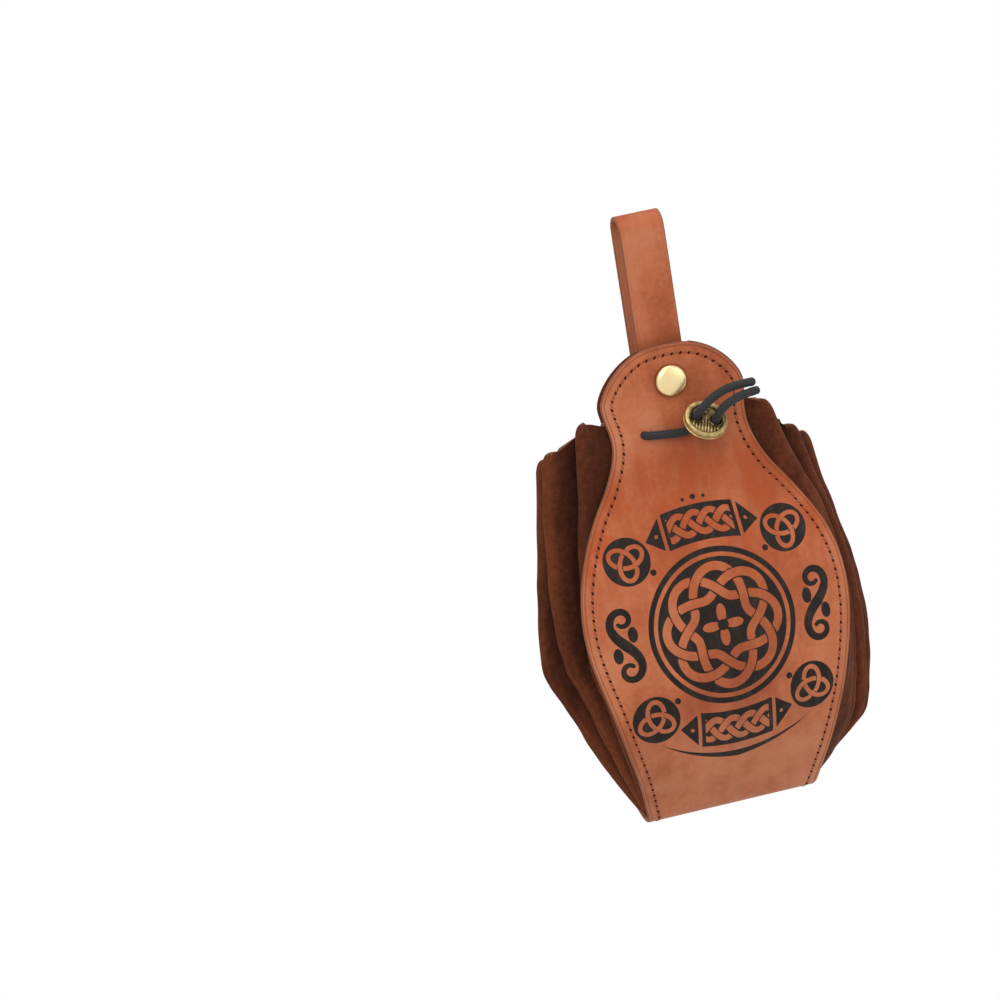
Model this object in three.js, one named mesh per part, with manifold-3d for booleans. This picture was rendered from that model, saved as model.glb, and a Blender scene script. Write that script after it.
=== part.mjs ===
import * as THREE from 'three'
import { mergeVertices } from 'three/addons/utils/BufferGeometryUtils.js'
import Module from 'manifold-3d'

const wasm = await Module()
wasm.setup()

// Sizes in millimetres. The origin is the inner top of the belt loop, and -Y is the front
const loopDrop = 48
const bodyLength = 184.6
const bellyHalf = 53.2
const bagHalf = 68.5
const headDepth = 12
const pleatSpread = 11
const frontCrown = 4.5
const backCrown = 2.5
const leather = 2
const suede = 1.3
const seamInset = 1.5
const ridgeRound = 2.1
const liningThick = 1
const strapWidth = 18
const strapThick = 1.8
const loopGap = 8.5
const gap = 0.3
const bagGap = 0.45
const capRadius = 6.35
const studDrop = 62
const beadRadius = 8.5
const beadThick = 4
const beadRim = 2
const cordRadius = 1.65
const cordRoom = 0.4

const headTop = -loopDrop
const vec = (x, y, z) => new THREE.Vector3(x, y, z)

// The band's middle line: share of the body's length, of the belly's half width, and of headDepth
const front = table(
  ['drop', 'half', 'depth'],
  [0, 0.06, -0.95], [0.002, 0.135, -0.95], [0.007, 0.21, -0.955], [0.0145, 0.275, -0.965],
  [0.0255, 0.34, -0.98], [0.04, 0.402, -0.995], [0.0575, 0.458, -1], [0.0775, 0.506, -1],
  [0.1025, 0.54, -1.005], [0.133, 0.532, -1.06], [0.161, 0.515, -1.15], [0.188, 0.513, -1.235],
  [0.216, 0.534, -1.28], [0.2435, 0.57, -1.3], [0.2765, 0.628, -1.335], [0.31, 0.706, -1.42],
  [0.343, 0.78, -1.57], [0.382, 0.857, -1.81], [0.426, 0.927, -2.06], [0.476, 0.977, -2.235],
  [0.5315, 1, -2.36], [0.5925, 0.992, -2.46], [0.6535, 0.955, -2.565], [0.7145, 0.903, -2.605],
  [0.775, 0.85, -2.49], [0.8305, 0.797, -2.26], [0.886, 0.743, -1.92], [0.93, 0.703, -1.525],
  [0.9635, 0.675, -1.18],
)
const fold = table(
  ['drop', 'half', 'depth'],
  [0.986, 0.655, -0.94], [0.9965, 0.647, -0.66], [1, 0.645, -0.41], [0.9965, 0.647, -0.16],
  [0.986, 0.655, 0.08],
)
const back = table(
  ['drop', 'half', 'depth'],
  [0.9635, 0.675, 0.29], [0.92, 0.714, 0.54], [0.85, 0.777, 0.75], [0.77, 0.853, 0.92], [0.66, 0.951, 1],
  [0.55, 1, 1], [0.44, 0.94, 0.875], [0.355, 0.804, 0.667], [0.289, 0.652, 0.458], [0.234, 0.556, 0.3],
  [0.188, 0.513, 0.242], [0.153, 0.47, 0.242], [0.128, 0.385, 0.242], [0.108, 0.22, 0.242],
)
const spine = [...front, ...fold, ...back].map((row) => ({
  half: row.half * bellyHalf, y: row.depth * headDepth, z: headTop - row.drop * bodyLength,
}))

// The pleats at each drop: half widths as shares of bagHalf, then the valleys' and the spread's shares
const pleats = table(
  ['drop', 'left1', 'left2', 'left3', 'right1', 'right2', 'right3', 'valley', 'spread'],
  [0.13, 0.575, 0.756, 0.772, 0.545, 0.709, 0.782, 0.66, 0.52],
  [0.216, 0.606, 0.78, 0.791, 0.593, 0.72, 0.796, 0.665, 0.57],
  [0.3, 0.631, 0.807, 0.815, 0.664, 0.764, 0.836, 0.685, 0.66],
  [0.382, 0.682, 0.831, 0.845, 0.746, 0.819, 0.877, 0.715, 0.79],
  [0.465, 0.718, 0.853, 0.877, 0.797, 0.876, 0.926, 0.745, 0.92],
  [0.549, 0.731, 0.853, 0.907, 0.813, 0.914, 0.978, 0.762, 1],
  [0.632, 0.724, 0.822, 0.924, 0.816, 0.926, 1, 0.77, 1],
  [0.676, 0.701, 0.782, 0.899, 0.809, 0.921, 0.999, 0.78, 0.97],
  [0.732, 0.667, 0.736, 0.832, 0.796, 0.909, 0.982, 0.8, 0.91],
  [0.787, 0.635, 0.691, 0.768, 0.781, 0.893, 0.964, 0.81, 0.86],
  [0.842, 0.601, 0.645, 0.705, 0.758, 0.867, 0.936, 0.82, 0.76],
  [0.88, 0.577, 0.615, 0.661, 0.718, 0.825, 0.905, 0.83, 0.68],
  [0.91, 0.555, 0.584, 0.625, 0.672, 0.752, 0.818, 0.85, 0.58],
  [0.945, 0.528, 0.546, 0.574, 0.613, 0.655, 0.701, 0.87, 0.46],
  [0.98, 0.504, 0.511, 0.52, 0.528, 0.537, 0.555, 0.92, 0.32],
)
const bagRows = [
  0, 0.03, 0.07, 0.11, 0.15, 0.19, 0.24, 0.3, 0.37, 0.45, 0.53, 0.6, 0.67, 0.74, 0.8, 0.86, 0.91, 0.955, 1,
]

// Where the bag's top edge lies along the ring, and its lower end, as shares of the body's length
const [leftEdge, rightEdge] = table(
  ['frontMid', 'front', 'ridge1', 'valley1', 'ridge2', 'valley2', 'ridge3', 'back', 'backMid', 'end'],
  [0.143, 0.143, 0.13, 0.148, 0.182, 0.192, 0.2, 0.165, 0.145, 0.98],
  [0.143, 0.143, 0.158, 0.185, 0.23, 0.243, 0.258, 0.165, 0.145, 0.98],
)

// The drawstring's route below the head's top, in shares of headDepth: from one cut end through the
// bead, the front and the back, and out again
const cordRoute = table(
  ['x', 'y', 'z'],
  [2.592, -1.7, -1.633], [2.083, -1.8, -1.6], [1.558, -1.933, -1.617], [1.167, -2.033, -1.717],
  [0.8, -2.083, -1.9], [0.542, -2.033, -2.117], [0.45, -1.833, -2.342], [0.417, -1.633, -2.55],
  [0.283, -1.508, -2.75], [0, -1.475, -2.817], [-0.417, -1.492, -2.767], [-0.833, -1.525, -2.717],
  [-1.108, -1.408, -2.7], [-1.2, -1.125, -2.7], [-1.3, -0.8, -2.717], [-1.383, -0.475, -2.733],
  [-1.317, -0.133, -2.725], [-1.217, 0.167, -2.717], [-1.092, 0.492, -2.717], [-0.8, 0.658, -2.725],
  [-0.333, 0.7, -2.75], [0.333, 0.7, -2.75], [0.8, 0.658, -2.725], [1.092, 0.492, -2.717],
  [1.217, 0.167, -2.717], [1.317, -0.133, -2.725], [1.383, -0.475, -2.733], [1.3, -0.8, -2.733],
  [1.217, -1.1, -2.767], [1.1, -1.417, -2.867], [1, -1.725, -2.825], [1, -1.867, -2.667],
  [1.05, -2.033, -2.467], [1.183, -2.167, -2.225], [1.483, -2.142, -2.033], [2.05, -1.967, -1.917],
  [2.658, -1.8, -1.9],
)
const beadCentre = vec(0.731, -1.836, -2.525)
const beadAxis = vec(0.138, -0.686, 0.715).normalize()
const beadAcross = vec(0.9116, -0.1941, -0.3621).normalize()
const beadHoleSpacing = 7.5

function table(names, ...rows) {
  return rows.map((row) => Object.fromEntries(names.map((name, i) => [name, row[i]])))
}

// The value of one column at a drop, between the rows of a table that runs down or up
function at(rows, key, drop) {
  const down = rows[0].drop < rows[rows.length - 1].drop ? rows : [...rows].reverse()
  const i = Math.min(down.length - 2, Math.max(0, down.findIndex((row) => row.drop >= drop) - 1))
  const [low, high] = [down[i], down[i + 1]]
  const share = THREE.MathUtils.clamp((drop - low.drop) / (high.drop - low.drop), 0, 1)
  return low[key] + share * (high[key] - low[key])
}

function closedGeometry(points, faces) {
  const geometry = new THREE.BufferGeometry()
  const flat = points.flatMap((p) => [p.x, p.y, p.z])
  geometry.setAttribute('position', new THREE.Float32BufferAttribute(flat, 3))
  geometry.setIndex(faces.flat())
  return geometry
}

// Rows of closed rings joined into an open-ended skin
function loft(rings, { offset = 0, inward = false } = {}) {
  const count = rings[0].length
  const faces = []
  rings.slice(1).forEach((_, row) => {
    for (let i = 0; i < count; i++) {
      const a = offset + row * count + i
      const b = offset + row * count + (i + 1) % count
      faces.push([a, b, b + count], [a, b + count, a + count])
    }
  })
  return { points: rings.flat(), faces: inward ? faces.map(([a, b, c]) => [a, c, b]) : faces, count }
}

const signedVolume = (points, faces) =>
  faces.reduce((sum, [a, b, c]) => sum + points[a].dot(points[b].clone().cross(points[c])) / 6, 0)

function outward(points, faces) {
  return signedVolume(points, faces) < 0 ? faces.map(([a, b, c]) => [a, c, b]) : faces
}

// A strip's cross-section at each row is a ring: its outer side one way, then its inner side back
function stripGeometry(rows) {
  const rings = rows.map(([outer, inner]) => [...outer, ...[...inner].reverse()])
  const { points, faces, count } = loft(rings)
  const half = count / 2
  for (const [start, flip] of [[0, true], [(rings.length - 1) * count, false]]) {
    for (let i = 0; i < half - 1; i++) {
      const [a, b, c, d] = [start + i, start + i + 1, start + count - 2 - i, start + count - 1 - i]
      faces.push(...(flip ? [[a, c, b], [a, d, c]] : [[a, b, c], [a, c, d]]))
    }
  }
  return closedGeometry(points, outward(points, faces))
}

function solid(geometry) {
  const bare = geometry.clone()
  bare.deleteAttribute('normal')
  bare.deleteAttribute('uv')
  const merged = mergeVertices(bare, 1e-4)
  return new wasm.Manifold(new wasm.Mesh({
    numProp: 3,
    vertProperties: new Float32Array(merged.attributes.position.array),
    triVerts: new Uint32Array(merged.index.array),
  }))
}

function geometryOf(manifold) {
  const mesh = manifold.getMesh()
  const geometry = new THREE.BufferGeometry()
  geometry.setAttribute('position', new THREE.Float32BufferAttribute(mesh.vertProperties, 3))
  geometry.setIndex([...mesh.triVerts])
  return geometry
}

function cut(geometry, ...tools) {
  return geometryOf(tools.reduce((rest, tool) => rest.subtract(solid(tool)), solid(geometry)))
}

// Points of the band's middle surface at one row, moved out by an offset
function crownAt(z, isFront) {
  const drop = (headTop - z) / bodyLength
  const { smoothstep } = THREE.MathUtils
  const rise = smoothstep(drop, 0.25, 0.55) * (1 - smoothstep(drop, 0.72, 0.97))
  return rise * (isFront ? frontCrown : backCrown)
}

function rowFrame(rows, i) {
  const [before, after] = [rows[Math.max(0, i - 1)], rows[Math.min(rows.length - 1, i + 1)]]
  const along = vec(0, after.y - before.y, after.z - before.z).normalize()
  return { ...rows[i], normal: vec(0, along.z, -along.y) }
}

const frames = spine.map((_, i) => rowFrame(spine, i))

function sheetPoint(frame, share, outBy, isFront) {
  const crown = crownAt(frame.z, isFront) * (1 - share * share)
  return vec(share * frame.half, frame.y, frame.z).addScaledVector(frame.normal, outBy + crown)
}

function frameAt(drop, isFront) {
  const [from, to] = isFront ? [0, front.length + 1] : [front.length + fold.length - 1, frames.length]
  const rows = frames.slice(from, to)
  const z = headTop - drop * bodyLength
  const i = rows.findIndex((row, k) => k > 0 && (row.z - z) * (rows[k - 1].z - z) <= 0)
  const [a, b] = [rows[i - 1], rows[i]]
  const share = (z - a.z) / (b.z - a.z)
  return {
    half: THREE.MathUtils.lerp(a.half, b.half, share),
    y: THREE.MathUtils.lerp(a.y, b.y, share),
    z,
    normal: a.normal.clone().lerp(b.normal, share).normalize(),
  }
}

const crossShares = [-1, -0.75, -0.5, -0.25, 0, 0.25, 0.5, 0.75, 1]

function bandSheet(rows, outBy, thick, extra = 0) {
  return stripGeometry(rows.map((frame) => {
    const wide = { ...frame, half: frame.half + extra }
    const isFront = frame.y < -0.25 * headDepth
    return [thick / 2, -thick / 2].map((side) =>
      crossShares.map((share) => sheetPoint(wide, share, outBy + side, isFront)))
  }))
}

// A point given in shares of headDepth below the head's top
const onHead = ({ x, y, z }) => vec(x, y, z).multiplyScalar(headDepth).add(vec(0, 0, headTop))

// A round tube along smooth points, as the cord or as the room that it needs
function cordTube(radius, steps) {
  const curve = new THREE.CatmullRomCurve3(cordRoute.map(onHead), false, 'centripetal')
  const section = new THREE.Shape(Array.from({ length: 8 }, (_, i) => {
    const angle = (i + 0.5) * Math.PI / 4
    return new THREE.Vector2(radius * Math.cos(angle), radius * Math.sin(angle))
  }))
  return new THREE.ExtrudeGeometry(section, { steps, bevelEnabled: false, extrudePath: curve })
}

// The bag: a ring of stations at each row, from the front's middle round one side to the back
function stationsAt(row, side) {
  const [sign, edge] = side === 'left' ? [-1, leftEdge] : [1, rightEdge]
  const dropOf = (top) => top + row * (edge.end - top)
  const place = (key, drop) => at(pleats, key, drop) * bagHalf
  const middle = (drop) => {
    const ends = [frameAt(drop, true), frameAt(drop, false)]
    return (ends[0].y + ends[1].y) / 2
  }
  const sheet = (share, top, isFront) => {
    const frame = frameAt(dropOf(top), isFront)
    frame.half -= seamInset
    return sheetPoint(frame, sign * share, -leather / 2 - bagGap, isFront)
  }
  const ridge = (n, top) => {
    const drop = dropOf(top)
    const spread = at(pleats, 'spread', drop) * pleatSpread
    const thick = Math.min(ridgeRound, 0.36 * spread)
    const y = middle(drop) + (n - 2) * spread
    const x = place(side + n, drop)
    const z = headTop - drop * bodyLength
    return [[-thick, -thick], [0, 0], [-thick, thick]].map(([dx, dy]) => vec(sign * (x + dx), y + dy, z))
  }
  const valley = (n, top) => {
    const drop = dropOf(top)
    const spread = at(pleats, 'spread', drop) * pleatSpread
    const y = middle(drop) + (n - 1.5) * spread
    const x = at(pleats, 'valley', drop) * place(side + '2', drop)
    const z = headTop - drop * bodyLength
    return [-0.1, 0.1].map((share) => vec(sign * x, y + share * spread, z))
  }
  return [
    sheet(0.5, edge.frontMid, true), sheet(1, edge.front, true),
    ...ridge(1, edge.ridge1), ...valley(1, edge.valley1),
    ...ridge(2, edge.ridge2), ...valley(2, edge.valley2),
    ...ridge(3, edge.ridge3),
    sheet(1, edge.back, false), sheet(0.5, edge.backMid, false),
  ]
}

function bagRing(row) {
  const middle = (top, isFront) => {
    const frame = frameAt(top + row * (leftEdge.end - top), isFront)
    return sheetPoint(frame, 0, -leather / 2 - bagGap, isFront)
  }
  return [
    middle(leftEdge.frontMid, true), ...stationsAt(row, 'right'),
    middle(leftEdge.backMid, false), ...stationsAt(row, 'left').reverse(),
  ]
}

// The same ring moved in by the wall, along the mitre of its two edges
function innerRing(ring) {
  return ring.map((point, i) => {
    const before = ring[(i + ring.length - 1) % ring.length]
    const after = ring[(i + 1) % ring.length]
    const normal = (a, b) => new THREE.Vector2(-(b.y - a.y), b.x - a.x).normalize()
    const [n1, n2] = [normal(before, point), normal(point, after)]
    const mitre = n1.clone().add(n2).normalize()
    const reach = suede / Math.max(0.6, mitre.dot(n1))
    return vec(point.x + mitre.x * reach, point.y + mitre.y * reach, point.z)
  })
}

function bagGeometry() {
  const outer = bagRows.map(bagRing)
  const inner = outer.slice(0, -2).map(innerRing)
  const count = outer[0].length
  const skin = loft(outer)
  const offset = skin.points.length
  const lining = loft(inner, { offset, inward: true })
  const points = [...skin.points, ...lining.points]
  const rim = Array.from({ length: count }, (_, i) => {
    const j = (i + 1) % count
    return [[i, offset + j, j], [i, offset + i, offset + j]]
  }).flat()
  const cap = (ring, start, flip) => THREE.ShapeUtils
    .triangulateShape(ring.map((p) => new THREE.Vector2(p.x, p.y)), [])
    .map(([a, b, c]) => (flip ? [start + a, start + c, start + b] : [start + a, start + b, start + c]))
  const bottom = cap(outer[outer.length - 1], (outer.length - 1) * count, false)
  const floor = cap(inner[inner.length - 1], offset + (inner.length - 1) * count, true)
  const faces = [...skin.faces, ...lining.faces, ...rim, ...bottom, ...floor]
  return closedGeometry(points, outward(points, faces))
}

// The press stud's seat: the head's front over the cap, and what lies behind it down to the strap
const seat = [-1, 0, 1].map((k) => frameAt((studDrop + k * capRadius - loopDrop) / bodyLength, true).y)
const snapFront = Math.min(...seat) - leather / 2 - gap
const socketFront = Math.max(...seat) - Math.min(...seat) + leather + liningThick + 4 * gap
const socketDepth = 2.9
const snapLegY = snapFront + socketFront + socketDepth + gap / 2 + strapThick / 2

// The strap: down the front behind the head, over the belt's place and down the outside of the back
function strapGeometry() {
  const legY = loopGap / 2 + strapThick / 2
  const lines = [[snapLegY, -studDrop - 9], [snapLegY, -studDrop - 4], [snapLegY, -studDrop + 4],
    [-legY, -0.625 * loopDrop]].map(([y, z]) => ({ y, z, normal: vec(0, -1, 0) }))
  for (let i = 0; i <= 10; i++) {
    const angle = Math.PI * i / 10
    const normal = vec(0, -Math.cos(angle), Math.sin(angle))
    lines.push({ y: normal.y * legY, z: -loopGap / 2 + normal.z * legY, normal })
  }
  for (const share of [0.625, 1.25, 1.54]) {
    lines.push({ y: legY, z: -share * loopDrop, normal: vec(0, 1, 0) })
  }
  for (const drop of [0.188, 0.22, 0.25, 0.28, 0.31, 0.34]) {
    const frame = frameAt(drop, false)
    const place = vec(0, frame.y, frame.z)
      .addScaledVector(frame.normal, leather / 2 + gap + strapThick / 2 + crownAt(frame.z, false))
    lines.push({ y: place.y, z: place.z, normal: frame.normal })
  }
  const across = ({ y, z, normal }, side) => [-0.5, 0, 0.5].map((share) =>
    vec(share * strapWidth, y, z).addScaledVector(normal, side * strapThick))
  return stripGeometry(lines.map((line) => [across(line, 0.5), across(line, -0.5)]))
}

// Turned parts lie along Y, with the profile's height toward the front
function turned(profile, segments, y, z) {
  const points = profile.map((p) => new THREE.Vector2(...p)).reverse()
  return new THREE.LatheGeometry(points, segments).rotateX(Math.PI).translate(0, y, z)
}

const capProfile = [
  [0, 2.6], [2.4, 2.5], [4.4, 2.05], [5.7, 1.3], [capRadius, 0.45], [capRadius, 0], [2, 0],
  [2, -socketFront], [5.5, -socketFront], [5.5, -socketFront - socketDepth],
  [2.95, -socketFront - socketDepth], [2.95, -socketFront - 1], [0, -socketFront - 1],
]
const studBack = snapFront - snapLegY - strapThick / 2 - gap
const studProfile = [
  [0, -socketFront - 1.3], [2.2, -socketFront - 1.3], [2.6, -socketFront - 1.7],
  [2.6, -socketFront - 2.4], [1.8, -socketFront - socketDepth], [1.8, studBack],
  [5, studBack], [5, studBack - 1], [0, studBack - 1],
]

function postHole(radius) {
  return new THREE.CylinderGeometry(radius, radius, headDepth, 16).translate(0, -1.1 * headDepth, -studDrop)
}

function beadGeometry() {
  const [r, t] = [beadRadius, beadThick / 2]
  const body = new THREE.LatheGeometry([
    [0, -t], [r - 1, -t], [r, -t + 1], [r, t - 0.8], [r - 0.6, t], [r - beadRim, t],
    [r - beadRim - 0.3, t - 0.9], [0, t - 0.9],
  ].map((p) => new THREE.Vector2(...p)), 32)
  const hole = (side) => new THREE.CylinderGeometry(2.15, 2.15, 3 * beadThick, 12)
    .translate(side * beadHoleSpacing / 2, 0, 0)
  const turn = new THREE.Matrix4().makeBasis(beadAcross, beadAxis, beadAcross.clone().cross(beadAxis))
  return cut(body, hole(-1), hole(1)).applyMatrix4(turn).translate(...onHead(beadCentre))
}

const passage = cordTube(cordRadius + cordRoom, 74)
const strapHole = new THREE.CylinderGeometry(2.15, 2.15, 3 * strapThick, 16).translate(0, snapLegY, -studDrop)
const liningSheet = bandSheet(frames.slice(2, 10), -leather / 2 - gap - liningThick / 2, liningThick, 0.5)

const finishes = {
  tan: { color: '#b46a48', roughness: 0.55, metalness: 0 },
  suede: { color: '#4f2a1d', roughness: 0.95, metalness: 0 },
  brass: { color: '#d6b77b', roughness: 0.3, metalness: 1 },
  oldBrass: { color: '#8d7a48', roughness: 0.45, metalness: 1 },
  cord: { color: '#2b2a2c', roughness: 0.85, metalness: 0 },
}

const group = new THREE.Group()

function add(name, geometry, finish) {
  const mesh = new THREE.Mesh(geometry, new THREE.MeshStandardMaterial(finishes[finish]))
  mesh.name = name
  group.add(mesh)
}

add('outer_panel', cut(bandSheet(frames, 0, leather), passage, postHole(2.3)), 'tan')
add('head_lining', cut(liningSheet, postHole(2.3)), 'suede')
add('bag', cut(bagGeometry(), passage), 'suede')
add('belt_loop', cut(strapGeometry(), strapHole), 'tan')
add('snap_cap', turned(capProfile, 32, snapFront, -studDrop), 'brass')
add('snap_stud', turned(studProfile, 24, snapFront, -studDrop), 'brass')
add('drawstring', cordTube(cordRadius, 74), 'cord')
add('toggle_bead', beadGeometry(), 'oldBrass')

export default group
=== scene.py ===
import math

import bmesh
import bpy
import numpy as np
from mathutils import Matrix, Vector, noise
from mathutils.kdtree import KDTree


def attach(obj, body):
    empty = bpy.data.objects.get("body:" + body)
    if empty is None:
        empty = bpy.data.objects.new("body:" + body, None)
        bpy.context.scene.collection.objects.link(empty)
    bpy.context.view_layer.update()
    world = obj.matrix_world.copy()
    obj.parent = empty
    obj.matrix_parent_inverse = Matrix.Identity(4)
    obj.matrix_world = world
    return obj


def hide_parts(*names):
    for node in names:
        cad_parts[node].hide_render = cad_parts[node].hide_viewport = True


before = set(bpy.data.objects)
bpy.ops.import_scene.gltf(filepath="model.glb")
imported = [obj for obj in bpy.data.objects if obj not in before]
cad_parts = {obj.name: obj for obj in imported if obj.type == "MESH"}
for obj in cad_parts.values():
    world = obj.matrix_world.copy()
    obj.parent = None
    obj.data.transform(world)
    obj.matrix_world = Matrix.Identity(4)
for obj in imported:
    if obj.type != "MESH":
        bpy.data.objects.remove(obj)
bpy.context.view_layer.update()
mm = 0.001
noise.seed_set(7)  # without it the suede's slack would follow the clock


# The camera stands where the photograph was taken from: the stud's cap falls on the pixel "spot"
camera = dict(azimuth=-16.0, elevation=12.5, distance=2.0, roll=8.7, focus=(0, -0.0145, -0.062),
              spot=(671.3, 381.0), across=0.3802, sensor=36.0)


def linked(name, data):
    made = bpy.data.objects.new(name, data)
    bpy.context.scene.collection.objects.link(made)
    return made


def makeCamera():
    a, e, roll = (math.radians(camera[key]) for key in ("azimuth", "elevation", "roll"))
    right = Vector((math.cos(a), math.sin(a), 0))
    back = Vector((math.sin(a) * math.cos(e), -math.cos(a) * math.cos(e), math.sin(e)))
    up = back.cross(right)
    axes = Matrix((right * math.cos(roll) - up * math.sin(roll),
                   right * math.sin(roll) + up * math.cos(roll), back)).transposed()
    spotX, spotY = ((p - 500) / 1000 * camera["across"] / camera["distance"] for p in camera["spot"])
    aim = Vector((spotX, -spotY, -1)).rotation_difference(Vector((0, 0, -1))).to_matrix()
    data = bpy.data.cameras.new("camera")
    data.sensor_width = camera["sensor"]
    data.lens = camera["sensor"] * camera["distance"] / camera["across"]
    data.clip_end = 20
    place = Matrix.Translation(Vector(camera["focus"]) + back * camera["distance"])
    made = linked("camera", data)
    made.matrix_world = place @ (axes @ aim).to_4x4()
    bpy.context.scene.camera = made


makeCamera()
print("camera set")


# A socket that can be added to, multiplied and so on, and one method for every other node
class Wire:
    def __init__(self, tree, socket):
        self.tree, self.socket = tree, socket

    def node(self, kind, inputs, out=0, stops=None, **settings):
        made = self.tree.nodes.new(kind)
        for name, value in settings.items():
            setattr(made, name, value)
        if stops:
            ramp = made.color_ramp
            while len(ramp.elements) < len(stops):
                ramp.elements.new(0.5)
            for element, (place, colour) in zip(ramp.elements, stops):
                element.position, element.color = place, colour
        for key, value in inputs.items():
            if isinstance(value, Wire):
                self.tree.links.new(value.socket, made.inputs[key])
            else:
                made.inputs[key].default_value = value
        return Wire(self.tree, made.outputs[out])

    def math(self, operation, *values):
        return self.node("ShaderNodeMath", dict(enumerate(values)), operation=operation)

    def __add__(self, other): return self.math("ADD", self, other)
    def __radd__(self, other): return self.math("ADD", other, self)
    def __sub__(self, other): return self.math("SUBTRACT", self, other)
    def __rsub__(self, other): return self.math("SUBTRACT", other, self)
    def __mul__(self, other): return self.math("MULTIPLY", self, other)
    def __rmul__(self, other): return self.math("MULTIPLY", other, self)

    def sine(self): return self.math("SINE", self)
    def absolute(self): return self.math("ABSOLUTE", self)
    def most(self, other): return self.math("MAXIMUM", self, other)
    def least(self, other): return self.math("MINIMUM", self, other)

    def between(self, low, high):
        return self.node("ShaderNodeMapRange", {"Value": self, "From Min": low, "From Max": high},
                         interpolation_type="SMOOTHSTEP")

    # a stripe that rises between two values and falls between two more
    def stripe(self, rise, fall):
        return self.between(*rise) * (1 - self.between(*fall))

    def noise(self, scale, detail=2.0, rough=0.5, warp=0.0):
        return self.node("ShaderNodeTexNoise", {"Vector": self, "Scale": scale, "Detail": detail,
                         "Roughness": rough, "Distortion": warp})

    def cells(self, scale, feature="F1"):
        return self.node("ShaderNodeTexVoronoi", {"Vector": self, "Scale": scale}, feature=feature)

    def stretched(self, x, y, z):
        return self.node("ShaderNodeMapping", {"Vector": self, "Scale": (x, y, z)})

    def blend(self, first, second):
        return self.node("ShaderNodeMix", {0: self, 6: first, 7: second}, out=2, data_type="RGBA")

    def attribute(self, name):
        return self.node("ShaderNodeAttribute", {}, out="Fac", attribute_name=name)

    def axis(self, name):
        return self.node("ShaderNodeSeparateXYZ", {0: self}, out=name)


def rgb(red, green, blue):
    linear = [(c / 255 / 12.92) if c < 11 else ((c / 255 + 0.055) / 1.055) ** 2.4 for c in (red, green, blue)]
    return (*linear, 1.0)


def newMaterial(name):
    material = bpy.data.materials.new(name)
    material.use_nodes = True
    tree = material.node_tree
    coords = tree.nodes.new("ShaderNodeTexCoord")
    return material, Wire(tree, coords.outputs["Object"]), tree.nodes["Principled BSDF"]


def dress(shader, links, **values):
    for key, value in values.items():
        shader.inputs[key.replace("_", " ")].default_value = value
    for key, wire in links.items():
        wire.tree.links.new(wire.socket, shader.inputs[key])


def bumped(height, strength, distance):
    return height.node("ShaderNodeBump", {"Height": height, "Strength": strength, "Distance": distance})


# crease darkens the edge crease, as its own darker line and painted shade, and the stitch groove with painted
# shade; inkSheen is painted sheen on the pattern
tan = dict(light=rgb(170, 104, 72), middle=rgb(158, 86, 52), dark=rgb(132, 62, 32), warm=rgb(146, 61, 20),
           pale=rgb(165, 107, 77), edge=rgb(120, 70, 48), crease=rgb(72, 30, 16), ink=rgb(20, 10, 5),
           inkSheen=rgb(46, 35, 27))

# Where the dye changes, by height in metres, and what lies along the cut edge, in millimetres from it
dye = dict(underCord=(-0.165, -0.115), overCord=(-0.1, -0.078), foot=(-0.212, -0.17),
           strapTop=(-0.0065, -0.0015))
border = dict(raw=(0.35, 0.8), crease=((1.05, 1.35), (1.45, 1.85)), groove=((3.2, 3.9), (4.2, 4.9)))


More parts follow.
